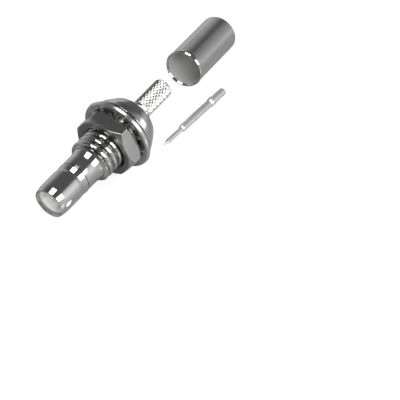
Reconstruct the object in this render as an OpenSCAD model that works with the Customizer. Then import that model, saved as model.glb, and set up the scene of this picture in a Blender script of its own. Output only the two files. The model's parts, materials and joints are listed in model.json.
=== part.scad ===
// Bulkhead coaxial connector for crimping on a thin cable, in millimetres.
// It lies on a table as it would come to rest: on the edge of its barrel and the rim of its
// lock washer. The crimp ferrule and the centre contact lie loose behind it.
// Places along the connector are measured from the mating face at the front of the barrel.

/* [Barrel] */
// Outer diameter of the mating barrel
barrel_d = 3.70; // [3.4:0.05:4.2]
// How much smaller the radius is at the barrel's front face
tip_drop = 0.13; // [0.05:0.01:0.2]
// Length of the lead-in taper at the front
tip_taper = 0.78; // [0.3:0.02:1.2]
// Inner diameter of the barrel
barrel_bore_d = 3.11; // [2.9:0.01:3.2]
// Distance from the front face to the floor of the opening for the mating plug
mating_depth = 3.5; // [2.5:0.1:3.6]
// Distance from the front face to the start of the detent groove
groove_start = 3.10; // [2.4:0.05:3.6]
// Length of the groove's gentle front slope
groove_slope = 0.45; // [0.2:0.05:0.8]
// Length of the groove's flat bottom
groove_flat = 0.33; // [0.2:0.01:0.6]
// Depth of the detent groove
groove_depth = 0.09; // [0.04:0.01:0.12]
// Height of the retaining ring above the rear barrel
ring_rise = 0.05; // [0.02:0.01:0.15]
// Width of the retaining ring
ring_w = 0.28; // [0.15:0.01:0.5]
// Diameter of the barrel behind the retaining ring
neck_d = 3.66; // [3.4:0.02:4.0]
// Length of the barrel behind the retaining ring
neck_len = 2.29; // [1:0.01:4]

/* [Panel thread] */
// Major diameter of the panel thread
thread_d = 4.83; // [4.6:0.01:6]
// Length from the front of the thread to the flange
thread_len = 5.42; // [5.3:0.01:9]
// Pitch of the panel thread
thread_pitch = 0.79375; // [0.5:0.00125:1]
// Depth of the thread
thread_depth = 0.43; // [0.2:0.01:0.44]
// Chamfer at the front of the thread
thread_chamfer = 0.34; // [0.1:0.02:0.4]
// Length of the plain relief between the thread and the flange
relief_len = 0.6; // [0.3:0.05:1]
// Depth of the relief below the thread's crest
relief_depth = 0.5; // [0.5:0.01:0.6]

/* [Flange] */
// Diameter of the flange's front edge
flange_d = 7.56; // [7:0.02:8.1]
// Width of the flange's straight rim
flange_rim = 0.12; // [0.05:0.01:0.6]
// Diameter at the end of the first cone of the back
dome_mid_d = 6.86; // [6.2:0.02:6.9]
// Length of the first cone
dome_mid_len = 0.78; // [0.4:0.02:1.5]
// Diameter at the end of the second cone of the back
dome_low_d = 5.42; // [4.6:0.02:6]
// Length of the second cone
dome_low_len = 1.20; // [0.6:0.02:2]
// Diameter of the small back face
dome_back_d = 2.96; // [2.9:0.02:3.6]
// Length of the last cone
dome_back_len = 0.95; // [0.4:0.02:1.6]

/* [Crimp stem] */
// Diameter of the stem over its knurl
stem_d = 2.19; // [2:0.01:2.5]
// Length of the stem behind the flange
stem_len = 4.47; // [3:0.01:8]
// Length of the plain stretch next to the flange
stem_plain = 0.45; // [0.2:0.05:1.2]
// Bore for the cable's core
stem_bore_d = 1.60; // [1.2:0.05:1.7]
// Diameter of the collar pressed into the body
collar_d = 2.60; // [2.4:0.02:2.8]
// Length of the collar
collar_len = 2.55; // [1:0.05:3]
// Number of diamonds round the stem
knurl_count = 20; // [12:1:28]
// Length of one diamond along the stem
knurl_pitch = 0.55; // [0.3:0.05:0.9]
// Depth of the knurl
knurl_depth = 0.10; // [0.03:0.01:0.12]

/* [Insulator] */
// Clearance of the insulator in the body
insulator_gap = 0.02; // [0.01:0.01:0.05]
// Diameter of the opening in the insulator that takes the mating plug
mating_bore_d = 2.20; // [2.1:0.02:2.4]
// How far the insulator's front lies inside the barrel
insulator_recess = 0.35; // [0.1:0.05:0.8]
// Thickness of the opening's floor in front of the shoulder
floor_t = 0.40; // [0.2:0.05:0.8]
// Width of the chamfer at the opening's edge
opening_edge = 0.12; // [0.05:0.01:0.2]
// Clearance of the contact in its hole
contact_gap = 0.02; // [0.01:0.01:0.05]

/* [Hex nut] */
// Width of the nut across its flats
nut_af = 6.55; // [6:0.05:7.2]
// Thickness of the nut
nut_t = 1.78; // [1.2:0.02:2.4]
// Width of the chamfer on the nut's corners
nut_chamfer = 0.475; // [0.2:0.005:0.6]
// Running clearance on the thread
nut_gap = 0.03; // [0.02:0.01:0.08]
// Countersink at both ends of the nut's hole
nut_sink = 0.22; // [0.05:0.01:0.35]
// Turn of the nut on the thread, in degrees
nut_turn = 12; // [0:1:59]

/* [Lock washer] */
// Outer diameter of the lock washer
washer_d = 8.20; // [7.6:0.05:9.5]
// Thickness of its sheet
washer_t = 0.42; // [0.25:0.01:0.6]
// Width of its solid ring
washer_ring_w = 0.80; // [0.4:0.02:1]
// Number of teeth
teeth = 12; // [8:1:14]
// Width of a tooth at its root
tooth_w = 1.05; // [0.7:0.01:1.2]
// Width of a tooth at its inner end
tooth_end_w = 0.85; // [0.5:0.01:1.1]
// Twist of each tooth out of the sheet, in degrees
tooth_twist = 45; // [20:1:60]
// Radial gap between the tooth ends and the thread
tooth_gap = 0.13; // [0.05:0.01:0.3]
// Gap between the washer's teeth and what they face
seat_gap = 0.02; // [0.01:0.01:0.05]

/* [Crimp ferrule] */
// Outer diameter of the ferrule
ferrule_d = 4.17; // [3.8:0.01:4.6]
// Wall of the ferrule
ferrule_wall = 0.275; // [0.15:0.005:0.4]
// Length of the ferrule
ferrule_len = 8.36; // [6:0.02:12]
// How far the mouth flares outwards
mouth_flare = 0.08; // [0.02:0.01:0.2]
// Length of the flare
mouth_len = 0.55; // [0.3:0.05:1.2]

/* [Centre contact] */
// Diameter of the contact's tip
contact_tip_d = 0.51; // [0.4:0.01:0.6]
// Length of the tip
contact_tip_len = 3.23; // [2.4:0.01:3.4]
// Length of the point at the tip's end
contact_point = 0.40; // [0.2:0.02:0.6]
// Diameter of the contact's body
contact_body_d = 0.81; // [0.7:0.01:0.9]
// Length of the body
contact_body_len = 5.56; // [4:0.02:5.8]
// Diameter of the shoulder ring
contact_ring_d = 0.98; // [0.92:0.01:1.1]
// Length of the shoulder ring
contact_ring_len = 0.93; // [0.5:0.01:1.2]
// Diameter of the solder barrel
contact_cup_d = 0.84; // [0.7:0.01:0.9]
// Length of the solder barrel
contact_cup_len = 1.85; // [1:0.05:2.1]
// Bore for the cable's centre conductor
contact_bore_d = 0.54; // [0.4:0.01:0.6]
// Depth of that bore
contact_bore_depth = 1.50; // [0.8:0.05:1.8]
// Width of the small chamfers on the contact
contact_edge = 0.10; // [0.03:0.01:0.12]

/* [Loose pieces] */
// Gap along the table between the stem's end and the ferrule's mouth
ferrule_gap = 8.3; // [2:0.1:20]
// Sideways place of the ferrule's mouth
ferrule_side = -3.8; // [-8:0.1:-3.2]
// Turn of the ferrule on the table, in degrees
ferrule_yaw = 9.5; // [-5:0.5:30]
// Gap along the table between the flange's back and the contact's tip
contact_gap_y = 2.22; // [1:0.02:10]
// Sideways place of the contact's tip
contact_side = 1.66; // [1:0.02:6]
// Turn of the contact on the table, in degrees
contact_yaw = 4.8; // [-20:0.2:6]

/* [Hidden] */
$fn = 96;
nickel = [0.78, 0.78, 0.76];
steel = [0.62, 0.63, 0.64];
ptfe = [0.93, 0.93, 0.91];
pale_metal = [0.84, 0.83, 0.80];
past = 0.1;

// Places along the connector
groove_low = groove_start + groove_slope;
groove_end = groove_low + groove_flat;
ring_end = groove_end + ring_w;
thread_at = ring_end + neck_len;
flange_at = thread_at + thread_len;
relief_at = flange_at - relief_len;
dome_mid_at = flange_at + flange_rim + dome_mid_len;
dome_low_at = dome_mid_at + dome_low_len;
back_at = dome_low_at + dome_back_len;
stem_end = back_at + stem_len;
collar_at = back_at - collar_len;
shoulder_at = mating_depth + floor_t;

// Radii
barrel_r = barrel_d / 2;
tip_r = barrel_r - tip_drop;
ring_r = neck_d / 2 + ring_rise;
thread_r = thread_d / 2;
relief_r = thread_r - relief_depth;
body_bore_r = collar_d / 2;
barrel_bore_r = barrel_bore_d / 2;
mating_bore_r = mating_bore_d / 2;
washer_r = washer_d / 2;
ferrule_r = ferrule_d / 2;
mouth_r = ferrule_r + mouth_flare;
ferrule_bore_r = ferrule_r - ferrule_wall;
stem_r = stem_d / 2;
contact_ring_r = contact_ring_d / 2;
contact_body_r = contact_body_d / 2;

// The washer's twisted teeth hold the nut off the flange
tooth_rise = tooth_w * sin(tooth_twist) + washer_t * cos(tooth_twist);
washer_mid = flange_at - seat_gap - tooth_rise / 2;
nut_back = washer_mid - tooth_rise / 2 - seat_gap;
nut_front = nut_back - nut_t;

// How the connector lies: one line under the barrel's edge and the washer's rim
lean = atan((washer_r - barrel_r) / (washer_mid - washer_t / 2 - tip_taper));
axis_height = barrel_r * cos(lean) - tip_taper * sin(lean);

// How the ferrule lies: on the lip of its mouth and its far edge
ferrule_lean = asin((mouth_r - ferrule_r) / ferrule_len);
ferrule_height = mouth_r * cos(ferrule_lean);
ferrule_y = stem_end * cos(lean) + ferrule_gap;

// How the contact lies: on its shoulder ring and the front edge of its body
ring_edge = contact_tip_len + contact_body_len + contact_edge;
body_edge = contact_tip_len + contact_edge;
contact_lean = asin((contact_ring_r - contact_body_r) / (ring_edge - body_edge));
contact_height = contact_body_r * cos(contact_lean) - body_edge * sin(contact_lean);
contact_y = back_at * cos(lean) + contact_gap_y;

// The origin is under the middle of everything, on the table
function disc_reach(r, along) = r * sqrt(1 - along * along);
ferrule_end_x = ferrule_side - ferrule_len * cos(ferrule_lean) * sin(ferrule_yaw);
ferrule_end_y = ferrule_y + ferrule_len * cos(ferrule_lean) * cos(ferrule_yaw);
x_low = min(-washer_r, ferrule_end_x - disc_reach(ferrule_r, cos(ferrule_lean) * sin(ferrule_yaw)));
y_low = -disc_reach(tip_r, cos(lean));
y_high = ferrule_end_y + disc_reach(ferrule_r, cos(ferrule_lean) * cos(ferrule_yaw));
middle = [(x_low + washer_r) / 2, (y_low + y_high) / 2, 0];

// Lays a piece whose axis is upright along the table, raised by an angle and turned sideways
module lay(at, raised, yaw) {
    translate(at - middle) rotate([0, 0, yaw]) rotate([raised - 90, 0, 0]) children();
}

module on_connector() {
    lay([0, 0, axis_height], lean, 0) children();
}

// Rod with a right-hand V thread: four rows of points to a turn follow the helix
module thread_rod(turns) {
    columns = 24;
    rows = 4 * turns;
    crest_w = thread_pitch / 8;
    root_w = thread_pitch / 4;
    flank_w = (thread_pitch - crest_w - root_w) / 2;
    root_r = thread_r - thread_depth;
    row_at = [0, flank_w, flank_w + crest_w, 2 * flank_w + crest_w];
    row_r = [root_r, thread_r, thread_r, root_r];
    function helix_point(row, column) = [
        row_r[row % 4] * cos(column * 360 / columns),
        row_r[row % 4] * sin(column * 360 / columns),
        (floor(row / 4) + column / columns) * thread_pitch + row_at[row % 4]
    ];
    // The point after the last column is the first one of the next turn
    function helix_index(row, column) = column < columns ? row * columns + column : (row + 4) * columns;
    function square(row, column) = let (
        a = helix_index(row, column),
        b = helix_index(row, column + 1),
        c = helix_index(row + 1, column + 1),
        d = helix_index(row + 1, column)
    ) [[a, c, b], [a, d, c]];
    points = [
        for (row = [0 : rows - 1], column = [0 : columns - 1]) helix_point(row, column),
        [0, 0, 0],
        [0, 0, helix_point(rows - 1, columns - 1)[2]]
    ];
    foot = rows * columns;
    foot_edge = [
        for (column = [0 : columns - 1]) helix_index(0, column),
        for (row = [4 : -1 : 1]) helix_index(row, 0)
    ];
    top_edge = [
        for (column = [0 : columns - 1]) helix_index(rows - 1, column),
        for (row = [rows - 2 : -1 : rows - 5]) helix_index(row, columns - 1)
    ];
    edge_points = len(foot_edge);
    faces = [
        for (row = [0 : rows - 2], column = [0 : columns - 2]) each square(row, column),
        for (row = [0 : rows - 6]) each square(row, columns - 1),
        for (i = [0 : edge_points - 1]) [foot, foot_edge[i], foot_edge[(i + 1) % edge_points]],
        for (i = [0 : edge_points - 1]) [foot + 1, top_edge[(i + 1) % edge_points], top_edge[i]]
    ];
    polyhedron(points = points, faces = faces);
}

module panel_thread() {
    lead = 1.25 * thread_pitch;
    intersection() {
        translate([0, 0, thread_at - lead])
            thread_rod(ceil((relief_at - thread_at) / thread_pitch) + 3);
        rotate_extrude() polygon([
            [0, thread_at],
            [thread_r - thread_chamfer, thread_at],
            [thread_r + past, thread_at + thread_chamfer + past],
            [thread_r + past, relief_at],
            [0, relief_at]
        ]);
    }
}

module front_body() {
    color(nickel) on_connector() difference() {
        union() {
            turned_body();
            panel_thread();
        }
        translate([0, 0, -past]) cylinder(r = barrel_bore_r, h = shoulder_at + past);
        cylinder(r = body_bore_r, h = back_at + past);
    }
}

module turned_body() {
    rotate_extrude() polygon([
        [0, 0],
        [tip_r, 0],
        [barrel_r, tip_taper],
        [barrel_r, groove_start],
        [barrel_r - groove_depth, groove_low],
        [barrel_r - groove_depth, groove_end],
        [ring_r, groove_end],
        [ring_r, ring_end],
        [neck_d / 2, ring_end],
        [neck_d / 2, thread_at + past],
        [relief_r, thread_at + past],
        [relief_r, flange_at],
        [flange_d / 2, flange_at],
        [flange_d / 2, flange_at + flange_rim],
        [dome_mid_d / 2, dome_mid_at],
        [dome_low_d / 2, dome_low_at],
        [dome_back_d / 2, back_at],
        [0, back_at]
    ]);
}

// Side wall of diamond pyramids: crests and valleys take turns on a grid round the stem
module knurl(length) {
    columns = 2 * knurl_count;
    rows = 2 * floor(length / knurl_pitch);
    step = length / rows;
    valley_r = stem_r - knurl_depth;
    function is_end(row) = row == 0 || row == rows;
    function is_crest(row, column) = !is_end(row) && (row + column) % 2 == 0;
    function grid_r(row, column) = is_crest(row, column) ? stem_r : valley_r;
    function grid_point(row, column) = [
        grid_r(row, column) * cos(column * 360 / columns),
        grid_r(row, column) * sin(column * 360 / columns),
        row * step
    ];
    function grid_index(row, column) = row * columns + column % columns;
    points = [
        for (row = [0 : rows], column = [0 : columns - 1]) grid_point(row, column),
        [0, 0, 0],
        [0, 0, length]
    ];
    foot = (rows + 1) * columns;
    // The diagonal of each square joins its two valleys
    function square(row, column) = let (
        a = grid_index(row, column),
        b = grid_index(row, column + 1),
        c = grid_index(row + 1, column + 1),
        d = grid_index(row + 1, column)
    ) (row + column) % 2 == 0 ? [[a, d, b], [b, d, c]] : [[a, c, b], [a, d, c]];
    faces = [
        for (row = [0 : rows - 1], column = [0 : columns - 1]) each square(row, column),
        for (column = [0 : columns - 1]) [foot, grid_index(0, column), grid_index(0, column + 1)],
        for (column = [0 : columns - 1])
            [foot + 1, grid_index(rows, column + 1), grid_index(rows, column)]
    ];
    polyhedron(points = points, faces = faces);
}

module rear_sleeve() {
    color(nickel) on_connector() difference() {
        union() {
            translate([0, 0, collar_at]) cylinder(r = collar_d / 2, h = collar_len);
            translate([0, 0, back_at]) cylinder(r = stem_r, h = stem_plain);
            translate([0, 0, back_at + stem_plain]) knurl(stem_len - stem_plain);
        }
        translate([0, 0, collar_at - past])
            cylinder(r = stem_bore_d / 2, h = collar_len + stem_len + 2 * past);
    }
}

module insulator() {
    seat_at = mating_depth + contact_body_len;
    end_at = collar_at - insulator_gap;
    color(ptfe) on_connector() rotate_extrude() polygon([
        [contact_body_r + contact_gap, mating_depth],
        [mating_bore_r, mating_depth],
        [mating_bore_r, insulator_recess + opening_edge],
        [mating_bore_r + opening_edge, insulator_recess],
        [barrel_bore_r - insulator_gap, insulator_recess],
        [barrel_bore_r - insulator_gap, shoulder_at - insulator_gap],
        [body_bore_r - insulator_gap, shoulder_at - insulator_gap],
        [body_bore_r - insulator_gap, end_at],
        [contact_ring_r + contact_gap, end_at],
        [contact_ring_r + contact_gap, seat_at],
        [contact_body_r + contact_gap, seat_at]
    ]);
}

module lock_washer() {
    ring_r_in = washer_r - washer_ring_w;
    end_r = thread_r + tooth_gap;
    root_r = ring_r_in + washer_t / 2;
    color(steel) on_connector() translate([0, 0, washer_mid]) {
        difference() {
            translate([0, 0, -washer_t / 2]) cylinder(r = washer_r, h = washer_t);
            translate([0, 0, -washer_t / 2 - past]) cylinder(r = ring_r_in, h = washer_t + 2 * past);
        }
        for (tooth = [0 : teeth - 1])
            rotate([0, 0, (tooth + 0.5) * 360 / teeth]) rotate([tooth_twist, 0, 0])
                translate([0, 0, -washer_t / 2]) linear_extrude(washer_t) polygon([
                    [end_r, -tooth_end_w / 2],
                    [root_r, -tooth_w / 2],
                    [root_r, tooth_w / 2],
                    [end_r, tooth_end_w / 2]
                ]);
    }
}

module hex_nut() {
    corner_r = nut_af / 2 / cos(30);
    face_r = corner_r - nut_chamfer;
    hole_r = thread_r + nut_gap;
    color(nickel) on_connector() translate([0, 0, nut_front]) rotate([0, 0, nut_turn])
        difference() {
            intersection() {
                cylinder(r = corner_r, h = nut_t, $fn = 6);
                rotate_extrude() polygon([
                    [0, 0],
                    [face_r, 0],
                    [corner_r + past, nut_chamfer + past],
                    [corner_r + past, nut_t - nut_chamfer - past],
                    [face_r, nut_t],
                    [0, nut_t]
                ]);
            }
            rotate_extrude() polygon([
                [0, -past],
                [hole_r + nut_sink + past, -past],
                [hole_r, nut_sink],
                [hole_r, nut_t - nut_sink],
                [hole_r + nut_sink + past, nut_t + past],
                [0, nut_t + past]
            ]);
        }
}

module crimp_ferrule() {
    color(nickel) lay([ferrule_side, ferrule_y, ferrule_height], -ferrule_lean, ferrule_yaw)
        rotate_extrude() polygon([
            [ferrule_bore_r + mouth_flare, 0],
            [mouth_r, 0],
            [ferrule_r, mouth_len],
            [ferrule_r, ferrule_len],
            [ferrule_bore_r, ferrule_len],
            [ferrule_bore_r, mouth_len]
        ]);
}

module contact_pin() {
    point_r = contact_tip_d / 2;
    cup_r = contact_cup_d / 2;
    bore_r = contact_bore_d / 2;
    ring_at = contact_tip_len + contact_body_len;
    cup_at = ring_at + contact_ring_len;
    end_at = cup_at + contact_cup_len;
    color(pale_metal) lay([contact_side, contact_y, contact_height], contact_lean, contact_yaw)
        rotate_extrude() polygon([
            [0, 0],
            [point_r / 3, 0],
            [point_r, contact_point],
            [point_r, contact_tip_len],
            [contact_body_r - contact_edge, contact_tip_len],
            [contact_body_r, body_edge],
            [contact_body_r, ring_at],
            [contact_ring_r - contact_edge / 2, ring_at],
            [contact_ring_r, ring_at + contact_edge],
            [contact_ring_r, cup_at - contact_edge],
            [contact_ring_r - contact_edge / 2, cup_at],
            [cup_r, cup_at],
            [cup_r, end_at],
            [bore_r, end_at],
            [bore_r, end_at - contact_bore_depth],
            [0, end_at - contact_bore_depth]
        ]);
}

front_body();
rear_sleeve();
insulator();
lock_washer();
hex_nut();
crimp_ferrule();
contact_pin();
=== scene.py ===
import json
import math

import bmesh
import bpy
from mathutils import Matrix, Vector


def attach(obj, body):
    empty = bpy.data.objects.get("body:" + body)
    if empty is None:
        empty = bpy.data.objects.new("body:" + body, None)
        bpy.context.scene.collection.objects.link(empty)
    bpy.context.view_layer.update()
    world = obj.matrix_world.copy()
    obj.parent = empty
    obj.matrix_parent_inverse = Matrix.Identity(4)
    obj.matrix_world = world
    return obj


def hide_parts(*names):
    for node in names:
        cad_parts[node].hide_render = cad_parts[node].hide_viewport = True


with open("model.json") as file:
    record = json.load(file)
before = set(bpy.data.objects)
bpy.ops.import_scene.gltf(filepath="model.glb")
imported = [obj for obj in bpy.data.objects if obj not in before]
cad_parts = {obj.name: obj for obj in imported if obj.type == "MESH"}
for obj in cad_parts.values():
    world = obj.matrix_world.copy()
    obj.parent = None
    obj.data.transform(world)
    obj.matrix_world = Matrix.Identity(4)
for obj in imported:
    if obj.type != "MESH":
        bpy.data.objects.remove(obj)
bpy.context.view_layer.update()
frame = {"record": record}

# Sizes are in millimetres along and across the connector, as in the solid model.
MM = 0.001
EDGE = 0.03
SHARP_FROM = 34

# Front body
BARREL_R = 1.85
TIP_R = 1.72
TIP_TAPER = 0.78
BARREL_BORE_R = 1.555
SHOULDER_AT = 3.90
GROOVE_START = 3.10
GROOVE_LOW = 3.48
GROOVE_R = 1.77
RING_R = 1.88
RING_END = 4.16
RING_CHAMFER = 0.03
RING_CHAMFER_LEN = 0.04
UNDERCUT_R = 1.71
UNDERCUT_LEN = 0.13
UNDERCUT_END = 0.16
NECK_R = 1.83
FLARE_AT = 5.70
FLARE_R = 1.94
THREAD_AT = 6.45
THREAD_R = 2.415
THREAD_PITCH = 0.79375
THREAD_START = 0.875
THREAD_DEPTH = 0.43
THREAD_CHAMFER = 0.34
CREST_HALF = 0.27
CREST_FOOT = 0.46
CREST_DROP = 0.05
THREAD_ROW = 0.035
RELIEF_AT = 11.27
RELIEF_R = 1.915
FLANGE_AT = 11.87
FLANGE_R = 3.78
FLANGE_RIM = 0.12
DOME_MID = (12.77, 3.43)
DOME_LOW = (13.97, 2.71)
BACK_AT = 14.92
BACK_R = 1.48
BODY_BORE_R = 1.30

# Crimp stem
COLLAR_AT = 12.37
STEM_R = 1.095
STEM_BORE_R = 0.80
STEM_PLAIN_END = 15.37
STEM_END = 19.39
STEM_TAPER = 0.14
STEM_TAPER_LEN = 0.22
KNURL_COUNT = 20
KNURL_PITCH = 0.5743
KNURL_DEPTH = 0.10
KNURL_BLUNT = 1.15
KNURL_ROW = 0.034

# Insulator
RECESS = 0.35
OPENING_R = 1.10
OPENING_EDGE = 0.12
FLOOR_AT = 3.5
HOLE_R = 0.425
SEAT_R = 0.51
SEAT_AT = 9.06
INSULATOR_GAP = 0.02

# Hex nut
NUT_FRONT = 9.01
NUT_T = 1.78
NUT_FLAT_R = 3.275
NUT_CHAMFER = 0.475
NUT_CORNER_CUT = 0.02
NUT_LEAST_EDGE = 0.012
NUT_HOLE_R = 2.445
NUT_SINK = 0.22
NUT_TURN = 12

# Lock washer
WASHER_MID = 11.33
WASHER_R = 4.10
WASHER_RING_IN = 3.30
WASHER_T = 0.42
WASHER_ROLL = 0.06
WASHER_ROLL_LEN = 0.30
TOOTH_COUNT = 12
TOOTH_SECTIONS = 9
TOOTH_ROOT = 0.48
TOOTH_ROUND = 0.14
TOOTH_ROOT_W = 1.05
TOOTH_END_W = 0.85
TOOTH_END_R = 2.545
TOOTH_TWIST = 45
TOOTH_TWISTED_BY = 0.7

# Ferrule
FERRULE_R = 2.085
FERRULE_BORE_R = 1.81
FERRULE_LEN = 8.36
MOUTH_FLARE = 0.08
MOUTH_LEN = 0.55
LIP_LEN = 0.18
LIP_CUT = 0.095

# Contact
CONTACT_TIP_R = 0.255
CONTACT_POINT = 0.80
CONTACT_TIP_LEN = 3.23
CONTACT_BODY_R = 0.405
CONTACT_RING_AT = 8.79
CONTACT_RING_R = 0.49
CONTACT_RING_CONE = 0.27
CONTACT_CUP_AT = 9.72
CONTACT_CUP_R = 0.42
CONTACT_END = 11.57
CONTACT_BORE_R = 0.27
CONTACT_BORE_DEPTH = 1.5
CONTACT_EDGE = 0.10
CONTACT_CAP_R = 0.05

# Camera: bearings are in degrees from the front towards the right, heights in degrees up
CAMERA_BEARING = 36.94
CAMERA_HEIGHT = 35.65
CAMERA_AIM = (13.561, -8.495, 2.0)
CAMERA_AWAY = 260.4
CAMERA_LENS = 234.0

# The studio that the metal mirrors: pale at the horizon, dark straight up, as (height, tone)
WALL_LOW = 0.76
WALL_TONES = ((0.17, 0.54), (0.34, 0.43), (0.50, 0.33), (0.64, 0.19), (0.78, 0.12))
WALL_TOP = 0.11
FRONT_DIM = 0.35
# Each spot: bearing, height, where it begins and is full (one is straight at it), levels at both
BRIGHT_WALL = (118, 24, 0.905, 1.0, 0.0, 0.58)
DARK_GAP = (-166, 15, 0.905, 0.970, 1.0, 0.25)
DARK_SLIT = (-172, 40, 0.993, 0.9995, 1.0, 0.55)
PALE_PATCH = (-143, 34, 0.962, 0.998, 0.0, 0.08)

# Floor
FLOOR_REACH = 1.5
FLOOR_PAPER = (0.80, 0.80, 0.80, 1)
FLOOR_GLOW = 0.80
FLOOR_GLOW_MIRRORED = 0.04
# Painted shadow on the floor, seen in the metal alone. Each patch: centre, turn, scale across it, and
# how far from the centre it is full and ends
FLOOR_SHADE_PATCHES = (((-1.8, -11.8), 24, 0.45, 2.8, 5.6), ((-1.8, 6.2), 0, 0.8, 1.8, 3.2))
# How dark the painted shadow gets in reflections, and its colour
SHADE_PATCH_COVER = 0.66
SHADE_PATCH_TONE = (0.02, 0.02, 0.02, 1)

MOUNTS = {mount["name"]: mount for mount in frame["record"]["mounts"]}


# The camera and the stage

def towards(bearing, height):
    """The direction to a bearing and a height, both in degrees."""
    a, e = math.radians(bearing), math.radians(height)
    return Vector((math.sin(a) * math.cos(e), -math.cos(a) * math.cos(e), math.sin(e)))


def make_camera():
    """The photograph's view: from the mating end, 37 degrees round to the right."""
    back = towards(CAMERA_BEARING, CAMERA_HEIGHT)
    data = bpy.data.cameras.new("camera")
    data.sensor_width = 36.0
    data.lens = CAMERA_LENS
    data.clip_start = 0.01
    data.clip_end = 10.0
    camera = bpy.data.objects.new("camera", data)
    bpy.context.collection.objects.link(camera)
    camera.location = Vector(CAMERA_AIM) * MM + back * CAMERA_AWAY * MM
    camera.rotation_mode = "QUATERNION"
    camera.rotation_quaternion = (-back).to_track_quat("-Z", "Y")
    bpy.context.scene.camera = camera


def soft_box(name, bearing, height, distance, size, level, aim=(0, 0, 3), role="both"):
    """A soft lamp at a distance from its aim; a mirror lights only gloss, and a fill all else."""
    out = towards(bearing, height)
    data = bpy.data.lights.new(name, "AREA")
    data.shape = "RECTANGLE"
    data.size = size[0] * MM
    data.size_y = size[1] * MM
    data.energy = level * math.pi * data.size * data.size_y
    lamp = bpy.data.objects.new(name, data)
    bpy.context.collection.objects.link(lamp)
    lamp.location = (out * distance + Vector(aim)) * MM
    lamp.rotation_mode = "QUATERNION"
    lamp.rotation_quaternion = (-out).to_track_quat("-Z", "Y")
    lamp.visible_camera = False
    lamp.visible_glossy = role != "fill"
    lamp.visible_diffuse = role != "mirror"
    return lamp


def light_only(lamp, pieces):
    """Shades everything but these pieces from a lamp, as cards do in a studio."""
    lit = bpy.data.collections.new(lamp.name + "_lights")
    for piece in pieces:
        lit.objects.link(piece)
    lamp.light_linking.receiver_collection = lit


def add_math(nodes, links, operation, first, second):
    """One Math node; first and second are sockets or numbers."""
    node = nodes.new("ShaderNodeMath")
    node.operation = operation
    for i, value in enumerate((first, second)):
        if isinstance(value, (int, float)):
            node.inputs[i].default_value = value
        else:
            links.new(value, node.inputs[i])
    return node.outputs[0]


def add_range(nodes, links, value, start, end, low, high):
    """A smooth step of a value from one range to another."""
    node = nodes.new("ShaderNodeMapRange")
    node.interpolation_type = "SMOOTHSTEP"
    links.new(value, node.inputs["Value"])
    for name, number in (("From Min", start), ("From Max", end), ("To Min", low), ("To Max", high)):
        node.inputs[name].default_value = number
    return node.outputs[0]


def add_spot(nodes, links, direction, spot):
    """A level that changes smoothly round one direction of the studio."""
    bearing, height, start, full, outside, inside = spot
    way = nodes.new("ShaderNodeVectorMath")
    way.operation = "DOT_PRODUCT"
    links.new(direction, way.inputs[0])
    way.inputs[1].default_value = towards(bearing, height)
    return add_range(nodes, links, way.outputs["Value"], start, full, outside, inside)


def seen_directly(nodes, links, path):
    """One for a ray from the camera or through a glass, and nought for any other."""
    return add_math(nodes, links, "MAXIMUM",
                    path.outputs["Is Camera Ray"], path.outputs["Is Transmission Ray"])


def make_world():
    """White behind the object; round it a studio that is dark overhead and pale low down."""
    world = bpy.data.worlds.new("studio")
    bpy.context.scene.world = world
    world.use_nodes = True
    nodes, links = world.node_tree.nodes, world.node_tree.links
    nodes.clear()
    where = nodes.new("ShaderNodeTexCoord")
    split = nodes.new("ShaderNodeSeparateXYZ")
    links.new(where.outputs["Generated"], split.inputs[0])
    ramp = nodes.new("ShaderNodeValToRGB")
    ramp.color_ramp.interpolation = "EASE"
    stops = ramp.color_ramp.elements
    stops[0].position, stops[0].color = 0.0, (WALL_LOW, WALL_LOW, WALL_LOW, 1)
    stops[1].position, stops[1].color = 1.0, (WALL_TOP, WALL_TOP, WALL_TOP, 1)
    for height, tone in WALL_TONES:
        stop = stops.new(height)
        stop.color = (tone, tone, tone, 1)
    links.new(split.outputs["Z"], ramp.inputs[0])
    # The front half of the studio is dimmer than the half behind the object
    behind = add_range(nodes, links, split.outputs["Y"], -0.7, 0.1, FRONT_DIM, 1.0)
    walls = add_math(nodes, links, "MULTIPLY", ramp.outputs["Color"], behind)
    level = walls
    for operation, spot in (("MULTIPLY", DARK_GAP), ("ADD", PALE_PATCH),
                            ("MULTIPLY", DARK_SLIT), ("ADD", BRIGHT_WALL)):
        change = add_spot(nodes, links, where.outputs["Generated"], spot)
        level = add_math(nodes, links, operation, level, change)
    studio = nodes.new("ShaderNodeBackground")
    studio.inputs["Color"].default_value = (1, 1, 1, 1)
    links.new(level, studio.inputs["Strength"])
    white = nodes.new("ShaderNodeBackground")
    white.inputs["Color"].default_value = (1, 1, 1, 1)
    mix = nodes.new("ShaderNodeMixShader")
    path = nodes.new("ShaderNodeLightPath")
    links.new(seen_directly(nodes, links, path), mix.inputs[0])
    links.new(studio.outputs[0], mix.inputs[1])
    links.new(white.outputs[0], mix.inputs[2])
    out = nodes.new("ShaderNodeOutputWorld")
    links.new(mix.outputs[0], out.inputs["Surface"])


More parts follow.
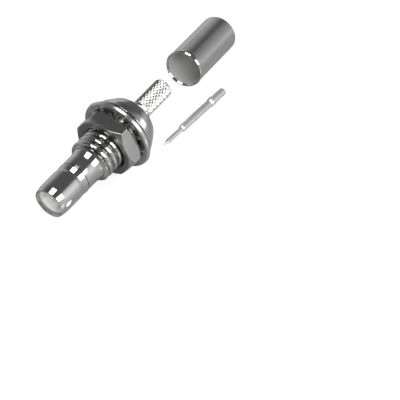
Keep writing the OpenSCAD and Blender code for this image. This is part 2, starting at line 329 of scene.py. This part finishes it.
def make_floor():
    """A pale floor that looks white, and pale in the metal, and still takes a shadow."""
    mesh = bpy.data.meshes.new("floor")
    corners = [(x * FLOOR_REACH, y * FLOOR_REACH, 0) for x, y in ((-1, -1), (1, -1), (1, 1), (-1, 1))]
    mesh.from_pydata(corners, [], [(0, 1, 2, 3)])
    floor = bpy.data.objects.new("floor", mesh)
    bpy.context.collection.objects.link(floor)
    material = bpy.data.materials.new("floor_white")
    material.use_nodes = True
    nodes, links = material.node_tree.nodes, material.node_tree.links
    nodes.clear()
    path = nodes.new("ShaderNodeLightPath")
    # Painted shadow: dark patches in the floor's colour beside the connector and before the ferrule,
    # standing in for its shade, there for the metal alone
    where = nodes.new("ShaderNodeTexCoord")
    painted_shade = 0.0
    for centre, turn, scale, inner, outer in FLOOR_SHADE_PATCHES:
        spin = Matrix.Rotation(math.radians(turn), 3, "Z")
        slant = nodes.new("ShaderNodeMapping")
        slant.inputs["Location"].default_value = spin @ Vector((*centre, 0)) * -MM
        slant.inputs["Rotation"].default_value = (0, 0, math.radians(turn))
        links.new(where.outputs["Object"], slant.inputs["Vector"])
        shrink = nodes.new("ShaderNodeMapping")
        shrink.inputs["Scale"].default_value = (1, scale, 1)
        links.new(slant.outputs[0], shrink.inputs["Vector"])
        away = nodes.new("ShaderNodeVectorMath")
        away.operation = "LENGTH"
        links.new(shrink.outputs[0], away.inputs[0])
        one = add_range(nodes, links, away.outputs["Value"], inner * MM, outer * MM, SHADE_PATCH_COVER, 0.0)
        painted_shade = add_math(nodes, links, "MAXIMUM", one, painted_shade)
    # The painted shadow darkens the floor only where the metal mirrors it
    mirrored_shade = add_math(nodes, links, "MULTIPLY", painted_shade, path.outputs["Is Glossy Ray"])
    tone = nodes.new("ShaderNodeMix")
    tone.data_type = "RGBA"
    tone.inputs["A"].default_value = FLOOR_PAPER
    tone.inputs["B"].default_value = SHADE_PATCH_TONE
    links.new(mirrored_shade, tone.inputs["Factor"])
    paper = nodes.new("ShaderNodeBsdfPrincipled")
    links.new(tone.outputs["Result"], paper.inputs["Base Color"])
    paper.inputs["Roughness"].default_value = 0.18
    paper.inputs["Specular IOR Level"].default_value = 0.8
    glow = nodes.new("ShaderNodeEmission")
    plain = add_math(nodes, links, "MULTIPLY", seen_directly(nodes, links, path), FLOOR_GLOW)
    mirrored = add_math(nodes, links, "MULTIPLY", path.outputs["Is Glossy Ray"], FLOOR_GLOW_MIRRORED)
    links.new(add_math(nodes, links, "MAXIMUM", plain, mirrored), glow.inputs["Strength"])
    both = nodes.new("ShaderNodeAddShader")
    links.new(paper.outputs[0], both.inputs[0])
    links.new(glow.outputs[0], both.inputs[1])
    out = nodes.new("ShaderNodeOutputMaterial")
    links.new(both.outputs[0], out.inputs["Surface"])
    mesh.materials.append(material)


# Materials

def metal(name, colour, roughness, line_depth, blotch=0.03, line_scale=9.0, metallic=1.0):
    """Polished or satin metal with fine turning lines round its axis and a faint haze."""
    material = bpy.data.materials.new(name)
    material.use_nodes = True
    nodes, links = material.node_tree.nodes, material.node_tree.links
    shader = nodes["Principled BSDF"]
    shader.inputs["Metallic"].default_value = metallic
    place = nodes.new("ShaderNodeAttribute")
    place.attribute_name = "local"
    stretch = nodes.new("ShaderNodeMapping")
    stretch.inputs["Scale"].default_value = (0.35, 0.35, line_scale)
    links.new(place.outputs["Vector"], stretch.inputs["Vector"])
    lines = nodes.new("ShaderNodeTexNoise")
    lines.inputs["Scale"].default_value = 1.4
    lines.inputs["Detail"].default_value = 5.0
    links.new(stretch.outputs[0], lines.inputs["Vector"])
    haze = nodes.new("ShaderNodeTexNoise")
    haze.inputs["Scale"].default_value = 0.9
    haze.inputs["Detail"].default_value = 6.0
    haze.inputs["Roughness"].default_value = 0.62
    links.new(place.outputs["Vector"], haze.inputs["Vector"])
    shade = nodes.new("ShaderNodeValToRGB")
    low = [c * (1 - 2 * blotch) for c in colour]
    high = [min(1.0, c * (1 + blotch)) for c in colour]
    shade.color_ramp.elements[0].position = 0.3
    shade.color_ramp.elements[0].color = (*low, 1)
    shade.color_ramp.elements[1].position = 0.7
    shade.color_ramp.elements[1].color = (*high, 1)
    links.new(haze.outputs["Fac"], shade.inputs[0])
    links.new(shade.outputs["Color"], shader.inputs["Base Color"])
    spread = nodes.new("ShaderNodeMapRange")
    spread.inputs["From Min"].default_value = 0.3
    spread.inputs["From Max"].default_value = 0.7
    spread.inputs["To Min"].default_value = roughness * 0.75
    spread.inputs["To Max"].default_value = roughness * 1.3
    links.new(lines.outputs["Fac"], spread.inputs["Value"])
    links.new(spread.outputs[0], shader.inputs["Roughness"])
    bump = nodes.new("ShaderNodeBump")
    bump.inputs["Strength"].default_value = 1.0
    bump.inputs["Distance"].default_value = line_depth * MM
    links.new(lines.outputs["Fac"], bump.inputs["Height"])
    links.new(bump.outputs[0], shader.inputs["Normal"])
    return material


def white_plastic(name):
    """White fluoropolymer, faintly mottled and a little waxy."""
    material = bpy.data.materials.new(name)
    material.use_nodes = True
    nodes, links = material.node_tree.nodes, material.node_tree.links
    shader = nodes["Principled BSDF"]
    shader.inputs["Roughness"].default_value = 0.42
    shader.inputs["Subsurface Weight"].default_value = 0.15
    shader.inputs["Subsurface Radius"].default_value = (0.0006, 0.0006, 0.0006)
    place = nodes.new("ShaderNodeAttribute")
    place.attribute_name = "local"
    cloud = nodes.new("ShaderNodeTexNoise")
    cloud.inputs["Scale"].default_value = 2.0
    cloud.inputs["Detail"].default_value = 4.0
    links.new(place.outputs["Vector"], cloud.inputs["Vector"])
    shade = nodes.new("ShaderNodeValToRGB")
    shade.color_ramp.elements[0].color = (0.92, 0.92, 0.905, 1)
    shade.color_ramp.elements[1].color = (0.97, 0.97, 0.955, 1)
    links.new(cloud.outputs["Fac"], shade.inputs[0])
    links.new(shade.outputs["Color"], shader.inputs["Base Color"])
    bump = nodes.new("ShaderNodeBump")
    bump.inputs["Distance"].default_value = 0.004 * MM
    links.new(cloud.outputs["Fac"], bump.inputs["Height"])
    links.new(bump.outputs[0], shader.inputs["Normal"])
    return material


# Building pieces

def axis_frame(mount, along, leaves=-1):
    """Where a piece stands: its own z runs from its front to its back, from its front face."""
    z = Vector(MOUNTS[mount]["axis"]).normalized() * leaves
    origin = Vector(MOUNTS[mount]["pos_m"]) - z * along * MM
    x = Vector((z.y, -z.x, 0)).normalized()
    y = z.cross(x)
    turn = Matrix((x, y, z)).transposed().to_4x4()
    return Matrix.Translation(origin) @ turn


def rounded(corners, closed, steps=3):
    """Replaces each corner (s, r, size) of an outline by a small arc of that size."""
    path = []
    count = len(corners)
    for i, (s, r, size) in enumerate(corners):
        here = Vector((s, r))
        if size <= 0 or (not closed and i in (0, count - 1)):
            path.append((s, r))
            continue
        before = Vector(corners[i - 1][:2])
        after = Vector(corners[(i + 1) % count][:2])
        reach = min(size, 0.4 * (before - here).length, 0.4 * (after - here).length)
        start = here + (before - here).normalized() * reach
        end = here + (after - here).normalized() * reach
        for k in range(steps + 1):
            t = k / steps
            point = start * (1 - t) ** 2 + here * 2 * t * (1 - t) + end * t * t
            path.append((point.x, point.y))
    return path


def split_long(path, step, s_from, s_to, closed):
    """Cuts the stretches of an outline that lie between two places into short rows."""
    out = []
    count = len(path)
    for i in range(count if closed else count - 1):
        a, b = Vector(path[i]), Vector(path[(i + 1) % count])
        out.append(tuple(a))
        inside = min(a.x, b.x) >= s_from - 1e-6 and max(a.x, b.x) <= s_to + 1e-6
        pieces = max(1, round(abs(b.x - a.x) / step)) if inside else 1
        out.extend(tuple(a.lerp(b, k / pieces)) for k in range(1, pieces))
    if not closed:
        out.append(path[-1])
    return out


def finish_mesh(name, verts, faces, place, material, body, nodes, weighted=True):
    mesh = bpy.data.meshes.new(name)
    mesh.from_pydata(verts, [], faces)
    shape = bmesh.new()
    shape.from_mesh(mesh)
    bmesh.ops.recalc_face_normals(shape, faces=shape.faces)
    shape.to_mesh(mesh)
    shape.free()
    local = mesh.attributes.new("local", "FLOAT_VECTOR", "POINT")
    local.data.foreach_set("vector", [c for v in mesh.vertices for c in v.co])
    mesh.transform(place @ Matrix.Scale(MM, 4))
    mesh.shade_smooth()
    mesh.set_sharp_from_angle(angle=math.radians(SHARP_FROM))
    mesh.materials.append(material)
    piece = bpy.data.objects.new(name, mesh)
    bpy.context.collection.objects.link(piece)
    if weighted:
        smooth = piece.modifiers.new("weighted_normals", "WEIGHTED_NORMAL")
        smooth.keep_sharp = True
    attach(piece, body)
    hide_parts(*nodes)
    return piece


def turned_mesh(path, columns, closed, radius_at=None):
    """Turns an outline of (s, r) points about the axis, with a say in each point's radius."""
    verts, faces = [], []
    rows = len(path)
    for s, r in path:
        for k in range(columns):
            angle = 2 * math.pi * k / columns
            radius = radius_at(s, r, k / columns) if radius_at else r
            verts.append((radius * math.cos(angle), radius * math.sin(angle), s))
    for i in range(rows if closed else rows - 1):
        j = (i + 1) % rows
        for k in range(columns):
            m = (k + 1) % columns
            faces.append((i * columns + k, i * columns + m, j * columns + m, j * columns + k))
    if not closed:
        faces.append(tuple(range(columns)))
        faces.append(tuple((rows - 1) * columns + k for k in range(columns)))
    return verts, faces


def line_bore(piece, material):
    """Gives the faces that look towards a piece's own axis a finish of their own."""
    mesh = piece.data
    mesh.materials.append(material)
    local = [Vector(value.vector) for value in mesh.attributes["local"].data]
    for face in mesh.polygons:
        corners = [local[i] for i in face.vertices]
        middle = sum(corners, Vector()) / len(corners)
        way = (corners[1] - corners[0]).cross(corners[2] - corners[0])
        if way.x * middle.x + way.y * middle.y < -0.5 * way.length * Vector(middle.xy).length:
            face.material_index = 1


def finish_zone(piece, material, low, high):
    """Gives the faces between two places along a piece's axis a finish of their own."""
    mesh = piece.data
    mesh.materials.append(material)
    local = [value.vector[2] for value in mesh.attributes["local"].data]
    for face in mesh.polygons:
        along = [local[i] for i in face.vertices]
        if min(along) > low and max(along) < high:
            face.material_index = len(mesh.materials) - 1


def make_front_body(place, material, dome_finish):
    """Barrel with its groove, the cut thread and the domed flange, turned from one bar."""
    corners = [
        (0, BARREL_BORE_R, 0.04), (0, TIP_R, 0.07), (TIP_TAPER, BARREL_R, 0.10),
        (GROOVE_START, BARREL_R, 0.20), (GROOVE_LOW, GROOVE_R, 0.06),
        (RING_END - RING_CHAMFER_LEN, RING_R, 0.02), (RING_END, RING_R - RING_CHAMFER, 0.01),
        (RING_END, UNDERCUT_R, 0.01), (RING_END + UNDERCUT_LEN, UNDERCUT_R, 0.01),
        (RING_END + UNDERCUT_END, NECK_R, 0.02), (FLARE_AT, NECK_R, 0.20), (THREAD_AT, FLARE_R, 0.02),
        (THREAD_AT, THREAD_R - THREAD_CHAMFER, 0.02),
        (THREAD_AT + THREAD_CHAMFER, THREAD_R, 0.02),
        (RELIEF_AT, THREAD_R, 0.02), (RELIEF_AT, RELIEF_R, 0.02), (FLANGE_AT, RELIEF_R, 0.05),
        (FLANGE_AT, FLANGE_R, EDGE), (FLANGE_AT + FLANGE_RIM, FLANGE_R, EDGE),
        (*DOME_MID, 0.06), (*DOME_LOW, 0.08), (BACK_AT, BACK_R, 0.04),
        (BACK_AT, BODY_BORE_R, 0.02), (SHOULDER_AT, BODY_BORE_R, 0.02),
        (SHOULDER_AT, BARREL_BORE_R, 0.02),
    ]
    path = split_long(rounded(corners, True), THREAD_ROW, THREAD_AT, RELIEF_AT, True)
    root_r = THREAD_R - THREAD_DEPTH

    def cut_thread(s, r, turn):
        if r <= FLARE_R + 0.01 or not THREAD_AT <= s <= RELIEF_AT or r > THREAD_R + EDGE:
            return r
        # Turns away from the middle of the crest, which plating has left broad and a little domed
        phase = ((s - THREAD_AT) / THREAD_PITCH + THREAD_START - turn) % 1.0
        from_crest = min(phase, 1 - phase)
        domed = CREST_DROP * min(1.0, from_crest / CREST_HALF) ** 2
        height = 1 - max(0.0, from_crest - CREST_HALF) / (CREST_FOOT - CREST_HALF)
        return min(r - domed, root_r + THREAD_DEPTH * min(1.0, max(0.0, height)))

    verts, faces = turned_mesh(path, 240, True, cut_thread)
    piece = finish_mesh("body_turned", verts, faces, place, material,
                        "connector", ["front_body"])
    finish_zone(piece, dome_finish, FLANGE_AT + 0.05, BACK_AT + 0.01)
    return piece


def triangle_wave(x):
    """Nought at every whole number and one halfway between them."""
    return 1 - abs(2 * (x % 1.0) - 1)


def make_stem(place, material):
    """The crimp stem with its diamond knurl, and the collar pressed into the body."""
    corners = [
        (COLLAR_AT, STEM_BORE_R, 0.02), (COLLAR_AT, BODY_BORE_R, 0.03),
        (BACK_AT, BODY_BORE_R, 0.03), (BACK_AT, STEM_R, 0.03),
        (STEM_PLAIN_END, STEM_R, 0.02), (STEM_END - STEM_TAPER_LEN, STEM_R, 0.05),
        (STEM_END, STEM_R - STEM_TAPER, 0.04), (STEM_END, STEM_BORE_R, 0.03),
    ]
    path = split_long(rounded(corners, True), KNURL_ROW, STEM_PLAIN_END, STEM_END, True)

    def knurled(s, r, turn):
        if s <= STEM_PLAIN_END or r < STEM_BORE_R + 0.1:
            return r
        along = (s - STEM_PLAIN_END) / KNURL_PITCH
        around = turn * KNURL_COUNT
        height = min(triangle_wave(around + along + 0.5), triangle_wave(around - along + 0.5))
        return min(r, STEM_R - KNURL_DEPTH + KNURL_DEPTH * min(1.0, height * KNURL_BLUNT))

    verts, faces = turned_mesh(path, 240, True, knurled)
    return finish_mesh("stem_knurled", verts, faces, place, material,
                       "connector", ["rear_sleeve"], weighted=False)


def make_insulator(place, material):
    """The white bush that lines the barrel's mouth and holds the contact behind it."""
    front = BARREL_BORE_R - INSULATOR_GAP
    main = BODY_BORE_R - INSULATOR_GAP
    shoulder = SHOULDER_AT - INSULATOR_GAP
    end = COLLAR_AT - INSULATOR_GAP
    corners = [
        (FLOOR_AT, HOLE_R, 0.04), (FLOOR_AT, OPENING_R, 0.10),
        (RECESS + OPENING_EDGE, OPENING_R, 0.06), (RECESS, OPENING_R + OPENING_EDGE, 0.06),
        (RECESS, front, 0.05), (shoulder, front, 0.02), (shoulder, main, 0.05),
        (end, main, 0.05), (end, SEAT_R, 0.04), (SEAT_AT, SEAT_R, 0.02), (SEAT_AT, HOLE_R, 0.02),
    ]
    verts, faces = turned_mesh(rounded(corners, True), 128, True)
    return finish_mesh("insulator_bush", verts, faces, place, material,
                       "connector", ["insulator"])


def make_nut(place, material):
    """The hex nut, its corners chamfered on both faces and its hole countersunk."""
    corner_r = NUT_FLAT_R / math.cos(math.radians(30))
    face_r = corner_r - NUT_CHAMFER
    back = NUT_FRONT + NUT_T
    columns = 360
    verts, faces = [], []
    for k in range(columns):
        angle = 2 * math.pi * k / columns
        off_flat = (angle % math.radians(60)) - math.radians(30)
        hex_r = min(NUT_FLAT_R / math.cos(off_flat), corner_r - NUT_CORNER_CUT)
        drop = max(hex_r - face_r, NUT_LEAST_EDGE)
        corners = [
            (NUT_FRONT + NUT_SINK, NUT_HOLE_R, 0.03), (NUT_FRONT, NUT_HOLE_R + NUT_SINK, 0.02),
            (NUT_FRONT, hex_r - drop, 0.05), (NUT_FRONT + drop, hex_r, 0.03),
            (back - drop, hex_r, 0.03), (back, hex_r - drop, 0.05),
            (back, NUT_HOLE_R + NUT_SINK, 0.02), (back - NUT_SINK, NUT_HOLE_R, 0.03),
        ]
        path = rounded(corners, True)
        rows = len(path)
        verts.extend((r * math.cos(angle), r * math.sin(angle), s) for s, r in path)
        nxt = (k + 1) % columns
        for i in range(rows):
            j = (i + 1) % rows
            faces.append((k * rows + i, k * rows + j, nxt * rows + j, nxt * rows + i))
    turned = place @ Matrix.Rotation(math.radians(NUT_TURN), 4, "Z")
    return finish_mesh("nut_chamfered", verts, faces, turned, material,
                       "nut", ["hex_nut"])


def add_tooth(verts, faces, angle):
    """One inward tooth of the washer, which twists out of the sheet on its way in."""
    half = WASHER_T / 2
    root_r = WASHER_RING_IN + TOOTH_ROOT
    first = len(verts)
    for i in range(TOOTH_SECTIONS):
        t = i / (TOOTH_SECTIONS - 1)
        radius = root_r + (TOOTH_END_R - root_r) * t
        wide = (TOOTH_ROOT_W + (TOOTH_END_W - TOOTH_ROOT_W) * t) / 2
        ease = min(1.0, t / TOOTH_TWISTED_BY)
        twist = math.radians(TOOTH_TWIST) * ease * ease * (3 - 2 * ease)
        section = [(-wide, -half, TOOTH_ROUND), (wide, -half, TOOTH_ROUND),
                   (wide, half, TOOTH_ROUND), (-wide, half, TOOTH_ROUND)]
        outline = rounded(section, True)
        for across, up in outline:
            y = across * math.cos(twist) - up * math.sin(twist)
            z = across * math.sin(twist) + up * math.cos(twist)
            verts.append((radius * math.cos(angle) - y * math.sin(angle),
                          radius * math.sin(angle) + y * math.cos(angle),
                          WASHER_MID + z))
    count = len(outline)
    for i in range(TOOTH_SECTIONS - 1):
        for k in range(count):
            a = first + i * count + k
            b = first + i * count + (k + 1) % count
            faces.append((a, b, b + count, a + count))
    faces.append(tuple(first + k for k in range(count)))
    faces.append(tuple(first + (TOOTH_SECTIONS - 1) * count + k for k in range(count)))


def make_washer(place, material):
    """The stamped ring with its inward teeth and its rolled outer edge."""
    front = WASHER_MID - WASHER_T / 2
    back = WASHER_MID + WASHER_T / 2
    corners = [
        (front, WASHER_RING_IN, 0.05), (front, WASHER_R - 2 * WASHER_ROLL, 0.03),
        (front + WASHER_ROLL, WASHER_R - WASHER_ROLL, 0.04), (front + WASHER_ROLL_LEN, WASHER_R, 0.08),
        (back, WASHER_R, 0.04), (back, WASHER_RING_IN, 0.04),
    ]
    verts, faces = turned_mesh(rounded(corners, True, 4), 288, True)
    for tooth in range(TOOTH_COUNT):
        add_tooth(verts, faces, 2 * math.pi * (tooth + 0.5) / TOOTH_COUNT)
    return finish_mesh("washer_toothed", verts, faces, place, material,
                       "washer", ["lock_washer"])


def make_ferrule(place, material, inside, lip):
    """The thin crimp sleeve with its slightly belled mouth."""
    corners = [
        (LIP_LEN, FERRULE_BORE_R + MOUTH_FLARE, 0.04), (0, FERRULE_BORE_R + MOUTH_FLARE + LIP_CUT, 0.02),
        (0, FERRULE_R + MOUTH_FLARE - LIP_CUT, 0.02), (LIP_LEN, FERRULE_R + MOUTH_FLARE, 0.04),
        (MOUTH_LEN, FERRULE_R, 0.25), (FERRULE_LEN, FERRULE_R, 0.08),
        (FERRULE_LEN, FERRULE_BORE_R, 0.05), (MOUTH_LEN, FERRULE_BORE_R, 0.25),
    ]
    verts, faces = turned_mesh(rounded(corners, True, 5), 256, True)
    piece = finish_mesh("ferrule_sleeve", verts, faces, place, material,
                        "connector", ["crimp_ferrule"])
    line_bore(piece, inside)
    finish_zone(piece, lip, -1, LIP_LEN + EDGE)
    return piece


def make_contact(place, material):
    """The loose centre contact: tip, body, shoulder ring and solder barrel."""
    body_start = CONTACT_TIP_LEN
    edge = CONTACT_EDGE
    corners = [
        (0, CONTACT_CAP_R, 0), (0, CONTACT_TIP_R / 4, 0.03), (CONTACT_POINT, CONTACT_TIP_R, 0.12),
        (body_start, CONTACT_TIP_R, 0.03), (body_start, CONTACT_BODY_R - edge, 0.02),
        (body_start + 2 * edge, CONTACT_BODY_R, 0.03), (CONTACT_RING_AT, CONTACT_BODY_R, 0.02),
        (CONTACT_RING_AT, CONTACT_BODY_R - edge / 2, 0.01),
        (CONTACT_RING_AT + CONTACT_RING_CONE, CONTACT_RING_R, 0.03),
        (CONTACT_CUP_AT - edge, CONTACT_RING_R, 0.03),
        (CONTACT_CUP_AT, CONTACT_RING_R - edge / 2, 0.02),
        (CONTACT_CUP_AT, CONTACT_CUP_R, 0.02), (CONTACT_END, CONTACT_CUP_R, 0.04),
        (CONTACT_END, CONTACT_BORE_R, 0.03),
        (CONTACT_END - CONTACT_BORE_DEPTH, CONTACT_BORE_R, 0.03),
        (CONTACT_END - CONTACT_BORE_DEPTH, CONTACT_CAP_R, 0),
    ]
    verts, faces = turned_mesh(rounded(corners, False), 96, False)
    return finish_mesh("contact_turned", verts, faces, place, material,
                       "connector", ["contact_pin"])


# The scene. Each lamp: bearing, height, distance, size and level

bpy.context.scene.view_settings.view_transform = "Standard"
make_camera()
make_world()
make_floor()
soft_box("right_box", 87, 30, 500, (300, 245), 5.0, role="mirror")
soft_box("right_fill", 87, 30, 500, (300, 245), 2.2, role="fill")
top_box = soft_box("top_box", 0, 82.8, 500, (250, 210), 6.0, role="mirror")
soft_box("top_fill", 0, 82.8, 500, (250, 210), 3.0, role="fill")
front_fill = soft_box("front_fill", 48, 34, 550, (600, 300), 4.6, role="fill")
back_box = soft_box("back_box", 161, 4, 60, (16, 14), 2.0, aim=(3.5, -6, 7))
low_box = soft_box("low_box", 109, -14, 5, (1.0, 0.9), 2.4, aim=(0, -17.5, 2.2), role="mirror")
stem_box = soft_box("stem_box", 108, 48, 300, (380, 330), 1.9)

nickel = metal("bright_nickel", (0.63, 0.63, 0.625), 0.075, 0.0003)
dome_nickel = metal("dome_nickel", (0.63, 0.63, 0.625), 0.15, 0.0045, line_scale=16.0)
stem_nickel = metal("stem_nickel", (0.74, 0.74, 0.73), 0.16, 0.0006)
nut_nickel = metal("nut_nickel", (0.55, 0.55, 0.545), 0.10, 0.0003)
washer_finish = metal("washer_nickel", (0.68, 0.68, 0.675), 0.20, 0.0005, metallic=0.85)
satin = metal("ferrule_satin", (0.62, 0.62, 0.615), 0.20, 0.0005)
matt = metal("ferrule_inside", (0.66, 0.66, 0.65), 0.40, 0.0010, metallic=0.3)
pale = metal("contact_plate", (0.84, 0.84, 0.83), 0.22, 0.0004, metallic=0.7)
connector = axis_frame("mating_barrel", 0)
body = make_front_body(connector, nickel, dome_nickel)
stem = make_stem(connector, stem_nickel)
bush = make_insulator(connector, white_plastic("fluoropolymer"))
nut = make_nut(connector, nut_nickel)
washer = make_washer(connector, washer_finish)
sleeve = make_ferrule(axis_frame("ferrule_bore", (FERRULE_LEN + MOUTH_LEN) / 2, 1), satin, matt, nickel)
contact = make_contact(axis_frame("contact_tip", 0), pale)
light_only(top_box, [body, nut, washer, sleeve, contact])
light_only(front_fill, [bush, sleeve, contact])
light_only(back_box, [body, nut, washer])
light_only(low_box, [body])
light_only(stem_box, [stem])
